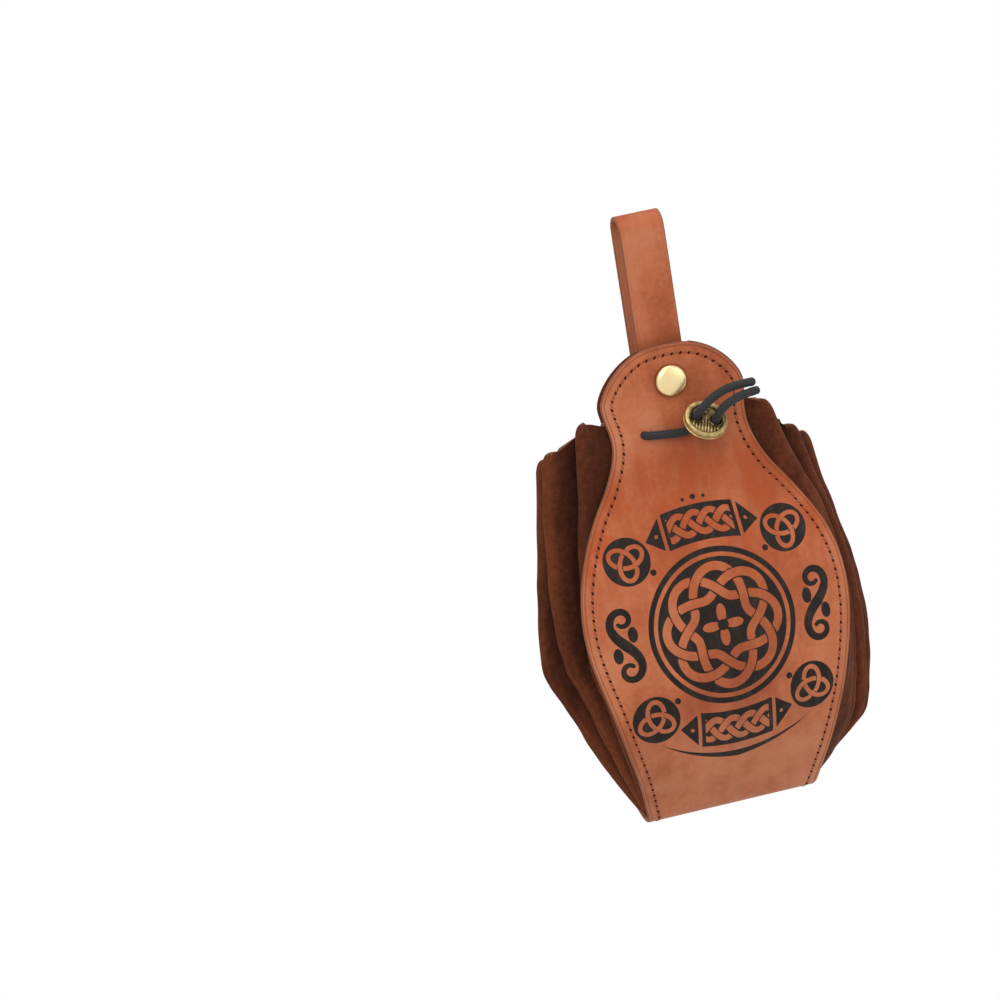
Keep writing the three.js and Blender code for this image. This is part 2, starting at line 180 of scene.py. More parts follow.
# Vegetable-tanned leather: pores, cloudy dye, streaks down the hide, cut edges and the burnt-in pattern, with
# painted shade in the edge crease and stitch groove and painted sheen on the pattern
def leatherMaterial(name, drawn):
    material, place, shader = newMaterial(name)
    cloud = place.noise(20, 4, 0.6)
    streak = place.stretched(1, 1, 0.3).noise(85, 3, 0.55)
    fleck = place.noise(520, 3, 0.6)
    tone = (cloud * 0.6 + streak * 0.26 + fleck * 0.14).between(0.34, 0.66)
    colour = tone.node("ShaderNodeValToRGB", {0: tone},
                       stops=[(0, tan["dark"]), (0.5, tan["middle"]), (1, tan["light"])])
    pores = place.cells(950).between(0.05, 0.5)
    wrinkles = place.cells(330, "DISTANCE_TO_EDGE").between(0, 0.12)
    grain = pores * 0.35 + wrinkles * 0.4 + place.noise(1400, 2) * 0.35
    # the dye is warmest under the cord and fades toward the bottom
    height = place.axis("Z")
    brushed = place.stretched(1, 1, 0.1).noise(150, 3, 0.6).between(0.4, 0.6)
    under = height.stripe(dye["underCord"], dye["overCord"])
    colour = (under * (0.25 + brushed * 0.5)).blend(colour, tan["warm"])
    colour = ((1 - height.between(*dye["foot"])) * (0.2 + brushed * 0.3)).blend(colour, tan["pale"])
    colour = (height.between(*dye["strapTop"]) * 0.35).blend(colour, tan["warm"])
    edge = place.attribute("edge")
    raw = 1 - edge.between(*border["raw"])
    crease = edge.stripe(*border["crease"])
    groove = edge.stripe(*border["groove"])
    sewn = 1.0 if drawn else 0.2
    # the edge crease is darkened as its own darker line and painted shade, the stitch groove with painted
    # shade
    colour = (crease * 0.5 * sewn + groove * 0.2 * sewn).blend(colour, tan["crease"])
    colour = raw.blend(colour, tan["edge"])
    rough = 0.47 + grain * 0.12 + raw * 0.15
    height = grain * 0.35 - crease * 1.2 * sewn - groove * 0.8 * sewn
    if drawn:
        ink = place.attribute("ink").between(-0.06, 0.07)
        # patches of the ink are paled toward inkSheen: painted sheen
        inkSheenPatches = place.stretched(1, 1, 0.35).noise(310, 3, 0.7).between(0.42, 0.75)
        colour = ink.blend(colour, (inkSheenPatches * 0.7).blend(tan["ink"], tan["inkSheen"]))
        rough = rough - ink * 0.08
        height = height - ink * 1.6
    dress(shader, {"Base Color": colour, "Roughness": rough, "Normal": bumped(height, 0.5, 0.0002)},
          Specular_IOR_Level=0.2)
    return material


# deep is the painted shade in the folds' valleys and light the painted highlight on their ridges, both mixed
# with the nap's own tone
hide = dict(deep=rgb(25, 10, 5), middle=rgb(61, 28, 15), light=rgb(101, 51, 30), cut=rgb(112, 66, 42))


# Napped suede: brushed patches, fine fibres, painted highlight where the folds stand out and painted shade in
# the valleys between them
def suedeMaterial(name, cut=False):
    material, place, shader = newMaterial(name)
    brushed = place.stretched(1, 1, 0.45).noise(38, 4, 0.62, 0.8)
    fibre = place.noise(1900, 2, 0.7)
    nap = place.noise(420, 3, 0.6)
    ridge = place.attribute("ridge")
    # ridge paints light on the folds that stand out and shade in the valleys
    tone = (brushed * 0.5 + nap * 0.3 + fibre * 0.2).between(0.32, 0.7) * 0.52 + ridge.between(0, 0.75) * 0.44
    stops = [(0, hide["deep"]), (0.45, hide["middle"]), (1, hide["light"])]
    if cut:
        stops = [(0, hide["middle"]), (0.5, hide["cut"]), (1, hide["cut"])]
    colour = tone.node("ShaderNodeValToRGB", {0: tone}, stops=stops)
    height = fibre * 0.6 + nap * 0.9
    dress(shader, {"Base Color": colour, "Normal": bumped(height, 0.55, 0.0003)},
          Roughness=0.95, Specular_IOR_Level=0.1, Sheen_Weight=0.22, Sheen_Roughness=0.45,
          Sheen_Tint=(0.5, 0.28, 0.18, 1))
    return material


def brassMaterial(name, bright, dark, rough, pitted):
    material, place, shader = newMaterial(name)
    tarnish = place.noise(420, 4, 0.65).between(0.35, 0.7)
    scratch = place.stretched(1, 0.2, 4).noise(900, 2)
    relief = place.attribute("relief")
    if pitted:
        # antique brass: tarnish, with the patina that darkens its hollows
        tarnishAndShade, uneven, depth = (tarnish * 0.5 + (1 - relief) * 0.6).least(1.0), 0.14, 0.3
    else:
        # polished brass: faint tarnish, and the rim darkened with painted shade
        tarnishAndShade, uneven, depth = (1 - relief) * 0.8 + tarnish * 0.06, 0.03, 0.02
    surface = scratch * 0.3 + place.noise(1500, 2) * 0.4
    dress(shader, {"Base Color": tarnishAndShade.blend(bright, dark), "Roughness": rough + tarnish * uneven,
                   "Normal": bumped(surface, depth, 0.0001)}, Metallic=1.0)
    return material


# Braided cord: two families of strands cross, one over the other, along the cord's own UV map
def cordMaterial(name):
    material, place, shader = newMaterial(name)
    uv = place.node("ShaderNodeTexCoord", {}, out="UV")
    around, along = uv.axis("X"), uv.axis("Y")
    first = ((around * 8 + along) * math.pi).sine().absolute()
    second = ((around * 8 - along) * math.pi).sine().absolute()
    strands = first.most(second)
    fuzz = place.noise(2600, 2)
    # the strands' crowns are painted lighter and the grooves between them darker, as painted highlight and
    # painted shade, with fuzz speckle mixed in
    tone = (strands * 0.6 + fuzz * 0.4).between(0.3, 1.0)
    colour = tone.blend(rgb(7, 7, 8), rgb(44, 42, 43))
    dress(shader, {"Base Color": colour, "Normal": bumped(strands + fuzz * 0.3, 0.6, 0.0003)},
          Roughness=0.75, Sheen_Weight=0.06, Specular_IOR_Level=0.3)
    return material


def plainMaterial(name, low, high, scale, roughness):
    material, place, shader = newMaterial(name)
    speck = place.noise(scale, 3, 0.6)
    colour = speck.between(0.3, 0.7).blend(low, high)
    dress(shader, {"Base Color": colour, "Normal": bumped(speck, 0.3, 0.0001)},
          Roughness=roughness, Specular_IOR_Level=0.08)
    return material


finishes = dict(
    panel=leatherMaterial("tan_leather_front", True),
    strap=leatherMaterial("tan_leather_strap", False),
    suede=suedeMaterial("dark_suede"),
    suedeCut=suedeMaterial("suede_cut_edge", True),
    brass=brassMaterial("polished_brass", rgb(236, 213, 160), rgb(150, 108, 58), 0.3, False),
    oldBrass=brassMaterial("antique_brass", rgb(186, 162, 110), rgb(54, 40, 22), 0.36, True),
    cord=cordMaterial("black_cord"),
    # the stitch holes' dark colour is painted shade
    hole=plainMaterial("stitch_hole", rgb(44, 12, 6), rgb(74, 24, 12), 900, 0.9),
    thread=plainMaterial("seam_thread", rgb(118, 54, 32), rgb(148, 76, 48), 2400, 0.7),
)
print("materials made")


# A finished bmesh becomes a piece that rides on the one body
def addPiece(name, bm, materials, replaced=None):
    mesh = bpy.data.meshes.new(name)
    bm.to_mesh(mesh)
    bm.free()
    for material in materials:
        mesh.materials.append(finishes[material])
    mesh.polygons.foreach_set("use_smooth", [True] * len(mesh.polygons))
    made = linked(name, mesh)
    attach(made, "root")
    if replaced:
        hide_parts(replaced)
    print(name, len(mesh.polygons), "faces")
    return made


# Adds a grid whose corners are laid at points[row, column], in millimetres, with numbers kept on them
def layGrid(bm, points, kept=None, uv=None):
    rows, columns = points.shape[0] - 1, points.shape[1] - 1
    layers = {key: bm.verts.layers.float.get(key) or bm.verts.layers.float.new(key) for key in (kept or {})}
    made = bmesh.ops.create_grid(bm, x_segments=columns, y_segments=rows, size=1)["verts"]
    flat = np.array([v.co[:2] for v in made])
    flat = (flat - flat.min(0)) / (flat.max(0) - flat.min(0))
    across = np.rint(flat[:, 0] * columns).astype(int)
    down = np.rint(flat[:, 1] * rows).astype(int)
    for vert, i, j in zip(made, across, down):
        vert.co = Vector(points[j, i]) * mm
        for key, layer in layers.items():
            vert[layer] = float(kept[key][j, i])
    if uv:
        uvLayer = bm.loops.layers.uv.verify()
        for vert, i, j in zip(made, across, down):
            for loop in vert.link_loops:
                loop[uvLayer].uv = (uv[0][i], uv[1][j])


def closeUp(bm, distance=1e-6):
    bmesh.ops.remove_doubles(bm, verts=bm.verts[:], dist=distance)
    bmesh.ops.dissolve_degenerate(bm, edges=bm.edges[:], dist=1e-7)
    bmesh.ops.recalc_face_normals(bm, faces=bm.faces[:])


def capHoles(bm, edges):
    bmesh.ops.holes_fill(bm, edges=edges, sides=0)
    bmesh.ops.recalc_face_normals(bm, faces=bm.faces[:])


def openEdges(bm):
    return [edge for edge in bm.edges if edge.is_boundary]


# Turns a line of points all the way round an axis, and gives back the verts at its start and end
def spinLine(bm, points, centre, axis, steps, closed=False):
    verts = [bm.verts.new(Vector(point) * mm) for point in points]
    ends = verts[1:] + verts[:1] if closed else verts[1:]
    edges = [bm.edges.new(pair) for pair in zip(verts, ends)]
    spun = bmesh.ops.spin(bm, geom=verts + edges, cent=Vector(centre) * mm, axis=axis, angle=2 * math.pi,
                          steps=steps, use_merge=True)
    return verts + [part for part in spun["geom_last"] if isinstance(part, bmesh.types.BMVert)]


# A smooth curve through the rows of a table, at many places
def smoothLine(rows, steps, closed=False):
    points = np.array(rows, float)
    if closed:
        points = np.vstack([points[-1], points, points[:2]])
    else:
        points = np.vstack([2 * points[0] - points[1], points, 2 * points[-1] - points[-2]])
    made = []
    for p0, p1, p2, p3 in zip(points, points[1:], points[2:], points[3:]):
        t1 = max(np.linalg.norm(p1 - p0), 1e-9) ** 0.5
        t2 = t1 + max(np.linalg.norm(p2 - p1), 1e-9) ** 0.5
        t3 = t2 + max(np.linalg.norm(p3 - p2), 1e-9) ** 0.5
        t = np.linspace(t1, t2, steps, endpoint=False)[:, None]

        def mixed(first, last, low, high):
            return ((high - t) * first + (t - low) * last) / (high - low)

        middle = mixed(p1, p2, t1, t2)
        before = mixed(mixed(p0, p1, 0, t1), middle, 0, t2)
        after = mixed(middle, mixed(p2, p3, t2, t3), t1, t3)
        made.append(mixed(before, after, t1, t2))
    if not closed:
        made.append(points[-2:-1])
    return np.vstack(made)


def lengthsAlong(points):
    return np.r_[0, np.linalg.norm(np.diff(points, axis=0), axis=1).cumsum()]


# The places on a line at given lengths along it
def resample(line, stops):
    walked = lengthsAlong(line)
    return np.column_stack([np.interp(stops, walked, line[:, k]) for k in range(line.shape[1])])


def unitSlope(line):
    slope = np.gradient(line, axis=0)
    return slope / np.linalg.norm(slope, axis=1)[:, None]


def smoothstep(value, low, high):
    t = np.clip((value - low) / (high - low), 0, 1)
    return t * t * (3 - 2 * t)


# The leather band's middle line: drop, half width and depth, each as a share of its size
panel = dict(
    headTop=-48.0, length=184.6, half=53.2, depth=12.0, leather=2.0, frontCrown=4.5, backCrown=2.5,
    edgeRound=0.8, columns=(216, 26), zone=(56.0, 167.0), zoneStep=0.53, plainStep=2.2,
    outlineStep=1.5,
    front=[
        (-0.001, 0, -0.95), (0, 0.06, -0.95), (0.002, 0.135, -0.95), (0.007, 0.21, -0.955),
        (0.0145, 0.275, -0.965), (0.0255, 0.34, -0.98), (0.04, 0.402, -0.995), (0.0575, 0.458, -1),
        (0.0775, 0.506, -1), (0.1025, 0.54, -1.005), (0.133, 0.532, -1.06), (0.161, 0.515, -1.15),
        (0.188, 0.513, -1.235), (0.216, 0.534, -1.28), (0.2435, 0.57, -1.3), (0.2765, 0.628, -1.335),
        (0.31, 0.706, -1.42), (0.343, 0.78, -1.57), (0.382, 0.857, -1.81), (0.426, 0.927, -2.06),
        (0.476, 0.977, -2.235), (0.5315, 1, -2.36), (0.5925, 0.992, -2.46), (0.6535, 0.955, -2.565),
        (0.7145, 0.903, -2.605), (0.775, 0.85, -2.49), (0.8305, 0.797, -2.26), (0.886, 0.743, -1.92),
        (0.93, 0.703, -1.525), (0.9635, 0.675, -1.18),
    ],
    fold=[(0.986, 0.655, -0.94), (0.9965, 0.647, -0.66), (1, 0.645, -0.41), (0.9965, 0.647, -0.16),
          (0.986, 0.655, 0.08)],
    back=[
        (0.9635, 0.675, 0.29), (0.92, 0.714, 0.54), (0.85, 0.777, 0.75), (0.77, 0.853, 0.92),
        (0.66, 0.951, 1), (0.55, 1, 1), (0.44, 0.94, 0.875), (0.355, 0.804, 0.667), (0.289, 0.652, 0.458),
        (0.234, 0.556, 0.3), (0.188, 0.513, 0.242), (0.153, 0.47, 0.242), (0.128, 0.385, 0.242),
        (0.108, 0.22, 0.242), (0.1035, 0.1, 0.242), (0.1025, 0, 0.242),
    ],
)


# Everything that needs the band's surface asks these: half width, middle line and normal by length along it
def bandLine():
    table = np.array(panel["front"] + panel["fold"] + panel["back"])
    bare = np.column_stack([table[:, 1] * panel["half"], table[:, 2] * panel["depth"],
                            panel["headTop"] - table[:, 0] * panel["length"]])
    line = smoothLine(bare, 40)
    line[:, 0] = np.maximum(line[:, 0], 0)
    along = lengthsAlong(line[:, 1:])
    keep = np.r_[True, np.diff(along) > 1e-7]
    line, along = line[keep], along[keep]
    slope = np.gradient(line[:, 1:], along, axis=0)
    window = np.ones(25) / 25
    slope = np.column_stack([np.convolve(np.pad(slope[:, k], 12, "edge"), window, "valid") for k in (0, 1)])
    slope /= np.linalg.norm(slope, axis=1)[:, None]
    lowest = int(np.argmin(line[:, 2]))
    return dict(along=along, half=line[:, 0], y=line[:, 1], z=line[:, 2], slopeY=slope[:, 0],
                slopeZ=slope[:, 1], turn=along[lowest])


band = bandLine()
skin = panel["leather"] / 2  # from the middle line to either surface


def bandAt(along):
    return {key: np.interp(along, band["along"], band[key]) for key in ("half", "y", "z", "slopeY", "slopeZ")}


def bandPoint(x, along, outBy):
    spot = bandAt(along)
    drop = (panel["headTop"] - spot["z"]) / panel["length"]
    rise = smoothstep(drop, 0.25, 0.55) * (1 - smoothstep(drop, 0.72, 0.97))
    crown = np.where(along < band["turn"], panel["frontCrown"], panel["backCrown"]) * rise
    share = np.clip(x / np.maximum(spot["half"], 0.01), -1, 1)
    out = outBy + crown * (1 - share ** 2)
    return np.stack([x, spot["y"] + spot["slopeZ"] * out, spot["z"] - spot["slopeY"] * out], -1)


# Where the band's own length has a drop, on the front or on the back
def alongAt(drop, onFront):
    z = panel["headTop"] - np.asarray(drop) * panel["length"]
    part = band["along"] <= band["turn"] if onFront else band["along"] >= band["turn"]
    order = np.argsort(band["z"][part])
    return np.interp(z, band["z"][part][order], band["along"][part][order])


# The cut edge of the flat band, from the head's top down one side and up the back
def flatOutline(step):
    edge = np.column_stack([band["half"], band["along"]])
    return resample(edge, np.arange(0, lengthsAlong(edge)[-1], step))


outline = flatOutline(0.15)
edgeTree = KDTree(2 * len(outline))
for count, (x, s) in enumerate(outline):
    edgeTree.insert((x, s, 0), 2 * count)
    edgeTree.insert((-x, s, 0), 2 * count + 1)
edgeTree.balance()


def edgeDistance(x, along):
    flat = [edgeTree.find((px, ps, 0))[2] for px, ps in zip(np.ravel(x), np.ravel(along))]
    return np.array(flat).reshape(np.shape(x))


# The pattern on the front, in millimetres from its middle
art = dict(
    middle=109.5, limit=1.2, ring=(27.2, 29.3), crossing=0.42,
    wreath=dict(disc=25.6, mean=16.9, swing=5.5, turns=3, waves=8 / 3, width=1.65, gap=0.66),
    star=dict(hub=9.4, reach=8.2, heart=2.2),
    band=dict(levels=((39.4, 1), (-39.6, -1)), half=(15.0, 7.3), bend=0.007, point=0.95, swing=4.1,
              pitch=20.0, width=1.3, gap=0.55, square=2.1, line=(0.1, 0.7), dot=(3.0, 0.75)),
    corner=dict(place=(31.6, 30.6), radius=9.2, lobes=0.262, crossing=0.3, width=0.85, gap=0.42),
    scroll=dict(middle=38.6, reach=28.0, bend=0.0162, steps=320, thin=0.8, thick=1.25,
                leaf=(3.4, 3.6, 0.62, 1.9)),
    curve=dict(base=-52.0, half=26.0, bend=0.0095, slope=0.06, thick=1.5, taper=1.2),
    dots=((22.6, 24.6, 1.2), (22.6, -24.6, 1.2), (0, 49.6, 1.1), (4.2, 49.2, 0.7)),
)


# How far each place is from a line, and which of the line's steps is nearest
def farFrom(p, q, line):
    best = np.full(p.shape, 99.0)
    place = np.zeros(p.shape, int)
    for k in range(len(line) - 1):
        (ax, ay), (bx, by) = line[k], line[k + 1]
        dx, dy = bx - ax, by - ay
        t = np.clip(((p - ax) * dx + (q - ay) * dy) / (dx * dx + dy * dy + 1e-12), 0, 1)
        d = np.hypot(p - ax - t * dx, q - ay - t * dy)
        nearer = d < best
        best[nearer], place[nearer] = d[nearer], k
    return best, place


def layStrand(field, d, width, gap):
    return np.minimum(np.maximum(field, width + gap - d), d - width)


# Strands woven over and under each other: all are laid once, then each one's upper crossings again
def weave(field, p, q, strands, width, gap):
    for line, _ in strands:
        field = layStrand(field, farFrom(p, q, line)[0], width, gap)
    for line, crossings in strands:
        for first, last in crossings:
            before = min(first, 6)
            d, place = farFrom(p, q, line[first - before:last + 7])
            inside = (place >= before) & (place < before + last - first)
            field = np.where(inside & (d < width + gap), layStrand(field, d, width, gap), field)
    return field


# Where a strand passes over: about one phase, and again after every period
def upperRuns(phase, middle, period, reach):
    over = np.abs((phase - middle + period / 2) % period - period / 2) < reach
    steps = np.flatnonzero(np.diff(np.r_[0, over.astype(int), 0]))
    return list(zip(steps[::2], np.minimum(steps[1::2], len(over) - 1)))


# Each pattern gives the distance to the dark ground's border, positive inside the dark.
# The wreath is one strand that crosses itself on a round ground, with a star in the middle
def wreathPattern(p, q):
    shape, star = art["wreath"], art["star"]
    reach = np.hypot(p, q)
    ground = shape["disc"] - reach
    turns = np.linspace(0, shape["turns"] * 2 * math.pi, 1150)
    phase = turns * shape["waves"]
    radius = shape["mean"] + shape["swing"] * np.cos(phase)
    line = np.column_stack([radius * np.cos(turns), radius * np.sin(turns)])
    strands = [(line, upperRuns(phase, math.pi / 3, math.pi, art["crossing"]))]
    woven = weave(ground, p, q, strands, shape["width"], shape["gap"])
    petals = reach - star["reach"] * (0.6 + 0.4 * np.cos(4 * np.arctan2(q, p)))
    petals = np.minimum(np.maximum(petals, star["heart"] - reach), star["hub"] + 1 - reach)
    return np.minimum(np.where(reach < star["hub"], petals, woven), ground)


# A pointed band with a plait of three strands, squared at its ends, and a dot in each point
def bandPattern(p, q, level, flip):
    shape = art["band"]
    halfLong, halfHigh = shape["half"]
    v = q - level + flip * shape["bend"] * p ** 2
    beyond = np.abs(p) - halfLong
    within = halfHigh - np.abs(v)
    ground = np.minimum(within, 0.9 * (within - beyond * shape["point"]))
    x = np.linspace(-1, 1, 300) * (halfLong + 4)
    strands = []
    for k in range(3):
        phase = 2 * math.pi * (x / shape["pitch"] + k / 3)
        strands.append((np.column_stack([x, shape["swing"] * np.sin(phase)]),
                        upperRuns(phase, math.pi / 6, math.pi, art["crossing"])))
    near = (within > -1) & (beyond < 2)
    laid = ground.copy()
    laid[near] = weave(ground[near], p[near], v[near], strands, shape["width"], shape["gap"])
    laid = np.maximum(laid, np.minimum(beyond + shape["square"], ground))
    laid = np.minimum(laid, np.abs(beyond - shape["line"][0]) - shape["line"][1])
    laid = np.minimum(laid, np.hypot(beyond - shape["dot"][0], v) - shape["dot"][1])
    return np.minimum(laid, ground)


# A round knot with three lobes in every corner
def knotPattern(p, q):
    shape = art["corner"]
    u, v = (np.abs(flat) - middle for flat, middle in zip((p, q), shape["place"]))
    ground = shape["radius"] - np.hypot(u, v)
    near = ground > -2
    turns = np.linspace(0, 2 * math.pi, 360)
    lobes = np.column_stack([np.sin(turns) + 2 * np.sin(2 * turns), np.cos(turns) - 2 * np.cos(2 * turns)])
    strands = [(lobes * shape["radius"] * shape["lobes"],
                upperRuns(turns, math.pi / 2, 2 * math.pi / 3, shape["crossing"]))]
    knot = ground.copy()
    knot[near] = weave(ground[near], u[near], v[near], strands, shape["width"], shape["gap"])
    return np.minimum(knot, ground)


# A double scroll at each side, bent ever tighter toward both ends, with a leaf in each bend
def scrollPattern(p, q):
    shape = art["scroll"]
    side = np.abs(p)
    middle = shape["steps"] // 2
    way = np.linspace(-shape["reach"], shape["reach"], shape["steps"])
    heading = shape["bend"] * way ** 2 / 2 + math.pi / 4
    coil = np.column_stack([np.cos(heading), np.sin(heading)]).cumsum(0) * (way[1] - way[0])
    coil += (shape["middle"], 0) - coil[middle]
    d, place = farFrom(side, q, coil)
    field = shape["thin"] + shape["thick"] * (1 - np.abs(place - middle) / middle) - d
    inward, up, flat, size = shape["leaf"]
    for sign in (-1, 1):
        leaf = np.hypot(side - shape["middle"] + sign * inward, (q - sign * up) * flat)
        field = np.maximum(field, size - leaf)
    return field


# A low curve that closes the pattern below
def curvePattern(p, q):
    shape = art["curve"]
    side = np.abs(p)
    rise = shape["base"] + shape["bend"] * side ** 2 + shape["slope"] * side
    return shape["thick"] - side / shape["half"] * shape["taper"] - np.abs(q - rise)


def patternField(p, q):
    reach = np.hypot(p, q)
    low, high = art["ring"]
    parts = [np.minimum(reach - low, high - reach)]
    parts += [pattern(p, q) for pattern in (wreathPattern, knotPattern, scrollPattern, curvePattern)]
    parts += [bandPattern(p, q, level, flip) for level, flip in art["band"]["levels"]]
    parts += [size - np.hypot(np.abs(p) - x, q - y) for x, y, size in art["dots"]]
    return np.clip(np.maximum.reduce(parts), -art["limit"], art["limit"])


# Rows close together where the pattern lies and where the outline turns fast
def bandRows():
    step = np.where((band["along"] > panel["zone"][0]) & (band["along"] < panel["zone"][1]),
                    panel["zoneStep"], panel["plainStep"])
    edge = np.column_stack([band["half"], band["along"]])
    weight = np.maximum(np.diff(band["along"]) / step[1:], np.diff(lengthsAlong(edge)) / panel["outlineStep"])
    total = np.r_[0, weight.cumsum()]
    return np.interp(np.linspace(0, total[-1], int(total[-1]) + 1), total, band["along"])


def acrossStops(half, columns):
    inset = np.array([0, 0.12, 0.35, 0.7, 1.1, 1.6, 2.3, 3.2, 4.0, 4.8, 6.0])
    share = min(1.0, half / 14)
    inner = np.linspace(-1, 1, columns + 1 - 2 * (len(inset) - 1)) * max(half - inset[-1] * share, 0)
    ends = half - inset[:-1] * share
    return np.r_[-ends, inner, ends[::-1]]


def buildPanel():
    rows = bandRows()
    half = bandAt(rows)["half"]
    bm = bmesh.new()
    for outward, columns in zip((1, -1), panel["columns"]):
        x = np.array([acrossStops(h, columns) for h in half])
        along = np.broadcast_to(rows[:, None], x.shape)
        distance = edgeDistance(x, along)
        distance[:, 0] = distance[:, -1] = 0
        distance[0] = distance[-1] = 0
        rounding = np.sqrt(1 - (1 - np.clip(distance / panel["edgeRound"], 0, 1)) ** 2)
        points = bandPoint(x, along, outward * rounding * skin)
        ink = np.full(x.shape, -art["limit"])
        if outward > 0:
            reached = (rows > panel["zone"][0]) & (rows < panel["zone"][1])
            ink[reached] = patternField(x[reached], art["middle"] - along[reached])
        layGrid(bm, points, dict(edge=distance, ink=ink))
    closeUp(bm, 2e-6)
    addPiece("panel_leather", bm, ["panel"], "outer_panel")


strap = dict(width=18.0, thick=1.8, gap=0.3, loopGap=8.5, studDrop=62.0, snapLeg=-5.1, snapRun=(9, 4, -4),
             legBend=30.0, legDrops=(60, 74), backDrops=(0.188, 0.22, 0.25, 0.28, 0.31, 0.34), corner=0.55,
             insets=(1.0, 1.3, 1.6, 2.2, 5.0, 9.0), rows=260)

stitch = dict(inset=4.3, pitch=3.45, ends=(3.4, 3.0), length=1.1, width=0.28, high=0.2, slant=26.0,
              hole=(0.88, 0.54, 0.06), holeUp=0.03, strapInset=3.0, strapRows=(0.215, 0.325))


def sized(x, y, z):
    return Matrix.Diagonal((x * mm, y * mm, z * mm, 1))


# Stitches run round the cut edge, and in a U where the strap is sewn on: a thread between pricked holes, each
# hole a dark flat spot coloured with painted shade
def buildStitches():
    edge = flatOutline(0.5)
    both = np.vstack([edge[::-1] * (-1, 1), edge[1:]])
    tangent = unitSlope(both)
    line = both + np.column_stack([-tangent[:, 1], tangent[:, 0]]) * stitch["inset"]
    line = line[(line[:, 1] > stitch["ends"][0]) & (line[:, 1] < band["along"][-1] - stitch["ends"][1])]
    side = strap["width"] / 2 - stitch["strapInset"]
    high, low = (float(alongAt(drop, False)) for drop in stitch["strapRows"])
    sewn = np.array([(-side, high), (-side, low), (side, low), (side, high)])
    bm = bmesh.new()
    frames = []
    for run, surface in ((line, skin), (sewn, skin + strap["gap"] + strap["thick"])):
        stops = np.arange(1.0, lengthsAlong(run)[-1], stitch["pitch"])
        spots, ahead = resample(run, stops), resample(run, stops + 0.4)
        # the flat way on the surface becomes three axes in space
        centre = bandPoint(spots[:, 0], spots[:, 1], surface)
        along = bandPoint(ahead[:, 0], ahead[:, 1], surface) - centre
        above = bandPoint(spots[:, 0], spots[:, 1], surface + 1) - centre
        frames += zip(centre, along, above)
    for place, way, out in frames:
        out = Vector(out).normalized()
        way = (Vector(way) - out * Vector(way).dot(out)).normalized()
        turn = Matrix((way, out.cross(way), out)).transposed().to_4x4()
        move = Matrix.Translation(Vector(place) * mm) @ turn
        slant = Matrix.Rotation(math.radians(stitch["slant"]), 4, "Z")
        size = sized(stitch["length"], stitch["width"], stitch["high"])
        bmesh.ops.create_icosphere(bm, subdivisions=1, radius=1, matrix=move @ slant @ size)
        # each hole is a dark flat spot whose colour is painted shade
        lift = Matrix.Translation((stitch["pitch"] / 2 * mm, 0, stitch["holeUp"] * mm))
        hole = bmesh.ops.create_icosphere(bm, subdivisions=1, radius=1,
                                          matrix=move @ lift @ slant @ sized(*stitch["hole"]))["verts"]
        for face in {f for v in hole for f in v.link_faces}:
            face.material_index = 1
    addPiece("seam_stitches", bm, ["thread", "hole"])


lining = dict(first=1.2, last=25.0, proud=0.6, thick=1.0, gap=0.3)


# Thin suede behind the head, a little wider than it
def buildLining():
    rows = np.linspace(lining["first"], lining["last"], 40)
    half = bandAt(rows)["half"] + lining["proud"]
    share = np.linspace(-1, 1, 25)
    x = half[:, None] * share
    along = np.broadcast_to(rows[:, None], x.shape)
    bm = bmesh.new()
    below = -skin - lining["gap"]
    for outBy in (below, below - lining["thick"]):
        # the lining is given a high ridge value: painted light over the shade it sits in behind the head
        layGrid(bm, bandPoint(x, along, outBy), dict(ridge=np.full(x.shape, 0.9)))
    bmesh.ops.bridge_loops(bm, edges=openEdges(bm))
    closeUp(bm)
    addPiece("head_suede", bm, ["suede"], "head_lining")


